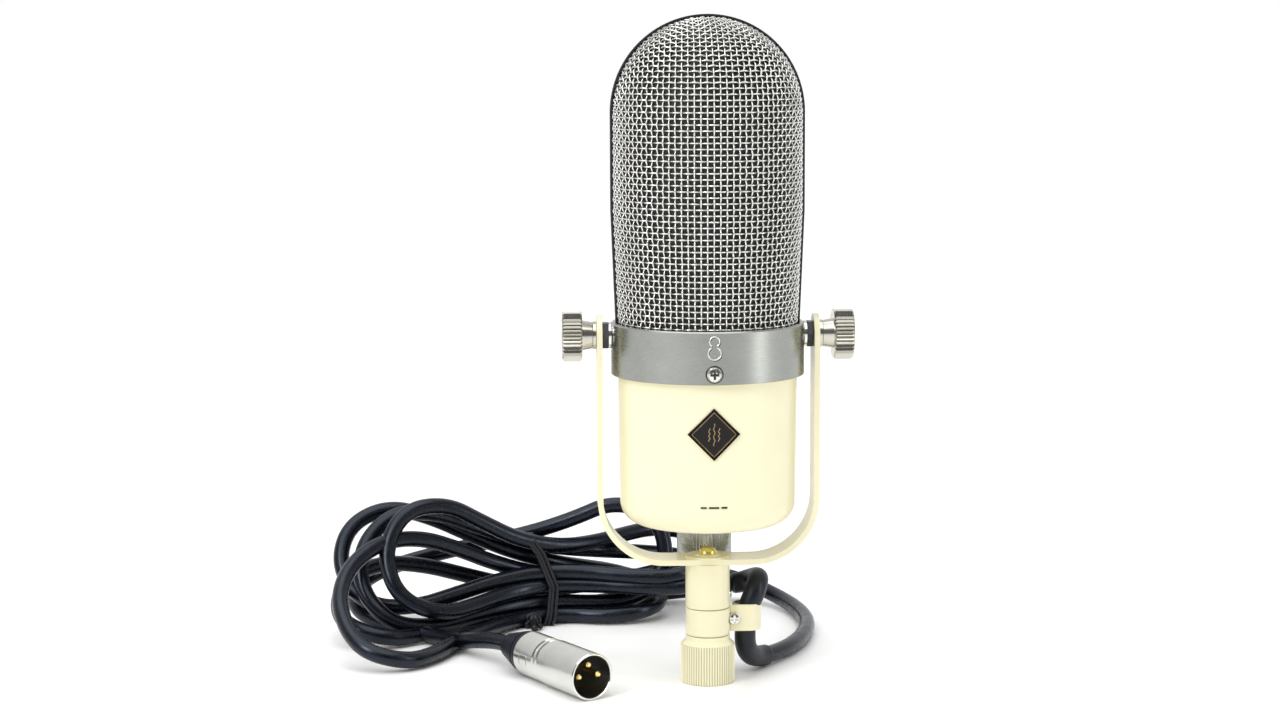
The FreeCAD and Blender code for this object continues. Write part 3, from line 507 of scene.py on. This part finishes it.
def make_sleeve(lead_line, cord_line):
    """The torn rubber sleeve round the lead where the strap holds it."""
    path = cut_line(lead_line + cord_line[1:SLEEVE_SEARCH], SLEEVE_START, SLEEVE_END)
    vertices, faces = tube(path, SLEEVE_RADIUS, SLEEVE_SIDES)
    rings = vertices.reshape(-1, SLEEVE_SIDES, 3)
    middle = np.array([tuple(point) for point in path])
    chance = random.Random(7)
    for end, inward in ((0, 1), (len(path) - 1, -1)):
        tear = [chance.uniform(*TEAR_DEPTH) * MM for _ in range(SLEEVE_SIDES)]
        pull = middle[end + inward] - middle[end]
        pull /= np.linalg.norm(pull)
        for k in range(SLEEVE_SIDES):
            rings[end, k] += pull * (tear[k] + tear[(k + 1) % SLEEVE_SIDES]) / 2
            rings[end, k] += (middle[end] - rings[end, k]) * 0.12
    rings[..., 2] = np.maximum(rings[..., 2], 0.0)
    sleeve = mesh_piece("sleeve", [(rings.reshape(-1, 3), faces)])
    return finish_piece(sleeve, FINISHES["sleeve_rubber"], "sleeve_rubber", "stand", "clamp_sleeve")


TIE_RADIUS = 0.8 * MM
TIE_LEAN = ((0, 4, 12, 20, 28, 36, 46), (0.0, 1.5, 3.0, 3.0, -0.5, -6.5, -12.0))     # height, shift in x
BUNDLE_FRONT, BUNDLE_TOP, NEAR_TIE, OUTLINE_STEPS = 95 * MM, 37 * MM, 5 * MM, 90
TIE_TURNS, TIE_KNOT = (-1.65, 0.0, 1.6), mm(TIE_X - 6.5, 98.6, 3.6)
KNOT_COILS = ((0.2, 2.9), (1.3, 2.4), (2.3, 2.1))                       # turn, radius
TIE_TAILS = ((0.6, -10.5, 1.5), (3.4, -6.0, 1.3), (-3.4, -3.4, 1.2))    # reach in x and in y, radius


def bundle_outline(line):
    """The tight outline round the strands where the tie holds them, as (y, z) points."""
    strands = np.array([tuple(point) for point in line])
    held = np.abs(strands[:, 0] - TIE_X * MM) < NEAR_TIE
    held &= (strands[:, 1] > BUNDLE_FRONT) & (strands[:, 2] < BUNDLE_TOP)
    strands = strands[held][:, 1:]
    angle = np.arange(OUTLINE_STEPS) * 2 * math.pi / OUTLINE_STEPS
    outward = np.stack([np.cos(angle), np.sin(angle)], 1)
    sideways = np.stack([-np.sin(angle), np.cos(angle)], 1)
    reach = (strands @ outward.T).max(0) + CABLE_RADIUS + TIE_RADIUS * 0.8
    slope = (np.roll(reach, -1) - np.roll(reach, 1)) / (4 * math.pi / OUTLINE_STEPS)
    outline = outward * reach[:, None] + sideways * slope[:, None]
    outline[:, 1] = np.maximum(outline[:, 1], TIE_RADIUS)
    return outline


def make_tie(line):
    """Three turns of thin black tie round the bundle, with a knot and its ends in front."""
    parts = []
    for shift in TIE_TURNS:
        loop = []
        for i, (y, z) in enumerate(bundle_outline(line)):
            lean = float(np.interp(z / MM, *TIE_LEAN)) + 0.25 * math.sin(i / 9 + shift)
            loop.append(Vector(((TIE_X + lean + shift) * MM, y, z)))
        parts.append(tube(loop, TIE_RADIUS, 10, closed=True))
    for turn, size in KNOT_COILS:
        coil = []
        for i in range(16):
            a = 2 * math.pi * i / 16
            across, up = size * math.cos(a), size * 0.8 * math.sin(a)
            coil.append(TIE_KNOT + mm(across * math.cos(turn), across * math.sin(turn), up))
        parts.append(tube(coil, 1.2 * MM, 8, closed=True))
    for sway, drop, thick in TIE_TAILS:
        tail = [TIE_KNOT + mm(0, 0, 0.2), TIE_KNOT + mm(sway * 0.5, drop * 0.35, -0.6),
                TIE_KNOT + mm(sway * 0.7, drop * 0.7, -1.6), TIE_KNOT + mm(sway, drop, -1.75)]
        guide = route_curve("tie_guide", tail, 6)
        parts.append(tube(centreline(guide), thick * MM, 8))
        bpy.data.objects.remove(guide)
    tie = mesh_piece("cord_tie", parts)
    return finish_piece(tie, FINISHES["tie_black"], "tie_black", "stand", "hank_tie")


# ---------------------------------------------------------------- woven grille
WIRE_RADIUS, CRIMP, WIRE_PITCH, ROW_PITCH = 0.35 * MM, 0.4 * MM, 2.54 * MM, 2.33 * MM
CLOTH_INSET = 1.49 * MM
TAPER_TOP, FOOT_RADIUS, EDGE_GAP = 192 * MM, 36.9 * MM, 0.75 * MM
STEPS_PER_PITCH = 4
DOME_DRAW = 0.16                          # how much the upright wires close up over the dome

band_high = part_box("grille_band")[1]
HEAD_RADIUS = band_high.x
DOME_Z = band_high.z - HEAD_RADIUS
FOOT_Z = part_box("front_grille")[0].z
CLOTH_RADIUS = HEAD_RADIUS - CLOTH_INSET
COLUMN_ANGLE, EDGE_ANGLE = WIRE_PITCH / CLOTH_RADIUS, math.acos(EDGE_GAP / CLOTH_RADIUS)


def cloth(columns, along, lift):
    """Points of the wire cloth: columns are angles round the head, along is the way up from the foot."""
    z = FOOT_Z + along
    narrow = np.clip((TAPER_TOP - z) / (TAPER_TOP - FOOT_Z), 0, 1) * (HEAD_RADIUS - FOOT_RADIUS)
    radius = CLOTH_RADIUS - narrow + lift
    barrel = np.stack([radius * np.sin(columns), -radius * np.cos(columns), z], -1)
    above = np.maximum(z - DOME_Z, 0)
    turn = above / np.maximum(CLOTH_RADIUS * np.cos(columns), 1e-6)
    x = np.sin(columns) * (1 - DOME_DRAW * (np.sin(turn) * np.cos(columns)) ** 2)
    ring = np.sqrt(1 - x * x)
    dome = np.stack([x, -ring * np.cos(turn), ring * np.sin(turn)], -1) * (CLOTH_RADIUS + lift)[..., None]
    dome[..., 2] += DOME_Z
    return np.where((z > DOME_Z)[..., None], dome, barrel), turn


def wires_up(mirror):
    """The wires that run up the barrel and over the dome to the band."""
    parts = []
    last = int(EDGE_ANGLE / COLUMN_ANGLE)
    for i in range(-last, last + 1):
        ring = CLOTH_RADIUS * math.cos(i * COLUMN_ANGLE)
        length = DOME_Z - FOOT_Z + ring * math.acos(min(1.0, EDGE_GAP / ring))
        along = np.arange(0, length, ROW_PITCH / STEPS_PER_PITCH)
        lift = CRIMP * np.cos(math.pi * (along / ROW_PITCH + i))
        path, _ = cloth(np.full_like(along, i * COLUMN_ANGLE), along, lift)
        parts.append(tube(path * mirror, WIRE_RADIUS, 6))
    return parts


def wires_round(mirror):
    """The wires that run round the head from one edge of the band to the other."""
    parts = []
    step = COLUMN_ANGLE / STEPS_PER_PITCH
    last = int(EDGE_ANGLE / step)
    columns = np.arange(-last, last + 1) * step
    top = DOME_Z - FOOT_Z + CLOTH_RADIUS * math.pi / 2
    for j in range(int(top / ROW_PITCH)):
        along = np.full_like(columns, j * ROW_PITCH)
        lift = -CRIMP * np.cos(math.pi * (columns / COLUMN_ANGLE + j))
        path, turn = cloth(columns, along, lift)
        kept = (path[:, 1] < -EDGE_GAP) & (turn < math.pi / 2)
        if kept.sum() > 6:
            parts.append(tube(path[kept] * mirror, WIRE_RADIUS, 6))
    return parts


def make_grilles():
    for side, node, mirror in (("front", "front_grille", (1, 1, 1)), ("rear", "rear_grille", (1, -1, 1))):
        for name, wires in (("upright_wires", wires_up), ("round_wires", wires_round)):
            piece = mesh_piece(side + "_" + name, wires(np.array(mirror)))
            finish_piece(piece, FINISHES["mesh_steel"], "mesh_steel", "mic", node)


# ---------------------------------------------------------------- marks on the ring, cup and badge
def round_front(across, up, radius):
    """A point on an upright cylinder's front, across it by a length of arc and at a height."""
    return Vector((radius * math.sin(across / radius), -radius * math.cos(across / radius), up))


def arc_line(centre_up, size, start, end, radius):
    """An arc drawn on the front of a cylinder, as a line of points."""
    line = []
    for i in range(41):
        a = math.radians(start + (end - start) * i / 40)
        line.append(round_front(size * math.sin(a), centre_up + size * math.cos(a), radius))
    return line


RING_RADIUS, CUP_RADIUS = 38.65 * MM, 35.45 * MM
PATTERN_LOBES = ((143.5, 1.95, -150, 150), (138.9, 2.5, 28, 332))      # height, size, first and last angle
MARK_LINE, SCREW_GAP, CUP_MARK_HEIGHT = 0.34 * MM, 0.2 * MM, 77.8 * MM
CUP_DASHES = ((-5.2, -2.9), (-2.0, 2.0), (2.9, 5.2))                    # from and to, across the front
BADGE_LINE_HALF = 8.7                                                   # the diamond's half width, in mm
BADGE_WAVES = ((-1.9, 2.6), (0.0, 4.4), (1.9, 2.6))                     # place across, half height


def pattern_sign(size, sink, shift):
    """The two-lobed pick-up pattern sign on the ring, as thin lines."""
    parts = []
    for height, lobe, start, end in PATTERN_LOBES:
        line = arc_line(height * MM, lobe * MM, start, end, RING_RADIUS - sink)
        parts.append(tube([point + shift for point in line], size, 8))
    return parts


def make_pattern_mark():
    """The sign in bright lines, with painted shadow beside them: dark copies of the lines, sunk and shifted,
    for the shade of the engraving.
    """
    mark = mesh_piece("pattern_mark", pattern_sign(0.33 * MM, 0.0, Vector()))
    finish_piece(mark, FINISHES["mesh_steel"], "mesh_steel", "mic")
    # painted shadow: dark lines set lower and to the side of the bright ones
    engraving_shadow = mesh_piece("pattern_painted_shadow", pattern_sign(0.36 * MM, 0.2 * MM, mm(0.24, 0, -0.26)))
    finish_piece(engraving_shadow, FINISHES["black_trim"], "black_trim", "mic")


def make_screw_shadows():
    """The dark gap round each ring screw's head and the dark bottom of its cross slot."""
    screw_low, screw_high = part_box("ring_screws")
    height = (screw_low.z + screw_high.z) / 2
    gap = (screw_high.z - screw_low.z) / 2 + SCREW_GAP
    parts = []
    for side, face in ((-1, screw_low.y), (1, screw_high.y)):
        ring = []
        for i in range(36):
            a = 2 * math.pi * i / 36
            across = gap * math.sin(a)
            depth = math.sqrt(RING_RADIUS ** 2 - across ** 2)
            ring.append(Vector((across, side * depth, height + gap * math.cos(a))))
        parts.append(tube(ring, MARK_LINE, 8, closed=True))
        middle = Vector((0, face - side * 0.5 * MM, height))
        for along in (mm(1.7, 0, 0), mm(0, 0, 1.7)):
            parts.append(tube([middle - along, middle, middle + along], 0.42 * MM, 8))
    shadow = mesh_piece("screw_shadows", parts)
    finish_piece(shadow, FINISHES["black_trim"], "black_trim", "mic")


def make_badge_motif():
    """A plain motif on the badge: a diamond line near its edge and three upright waves, for a ribbon."""
    plate_low, plate_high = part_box("badge_plate")
    centre = (plate_low.z + plate_high.z) / 2
    radius = -plate_low.y + 0.02 * MM
    parts = []
    half = BADGE_LINE_HALF
    corners = [(0, half), (half, 0), (0, -half), (-half, 0)]
    for (ax, az), (bx, bz) in zip(corners, corners[1:] + corners[:1]):
        line = []
        for i in range(13):
            t = i / 12
            line.append(round_front((ax + (bx - ax) * t) * MM, centre + (az + (bz - az) * t) * MM, radius))
        parts.append(tube(line, 0.11 * MM, 8))
    for across, tall in BADGE_WAVES:
        line = []
        for i in range(19):
            t = i / 18 * 2 - 1
            line.append(round_front((across + 0.28 * math.sin(9 * t)) * MM, centre + tall * t * MM, radius))
        parts.append(tube(line, 0.2 * MM, 8))
    motif = mesh_piece("badge_motif", parts)
    finish_piece(motif, FINISHES["badge_gold"], "badge_gold", "mic")


def make_cup_mark():
    """A small plain printed mark low on the cup: three dashes in a row."""
    parts = []
    for start, end in CUP_DASHES:
        line = []
        for i in range(7):
            across = (start + (end - start) * i / 6) * MM
            line.append(round_front(across, CUP_MARK_HEIGHT, CUP_RADIUS))
        parts.append(tube(line, MARK_LINE, 8))
    mark = mesh_piece("cup_mark", parts)
    finish_piece(mark, FINISHES["badge_black"], "badge_black", "mic")


# ---------------------------------------------------------------- the scene
make_camera()
FINISHES = make_finishes()
lead_line, cord_line, cord = make_cords()
make_studio()
make_floor()
paint_cad_nodes()
sleeve = make_sleeve(lead_line, cord_line)
tie = make_tie(cord_line)
make_grilles()
make_pattern_mark()
make_screw_shadows()
make_badge_motif()
make_cup_mark()
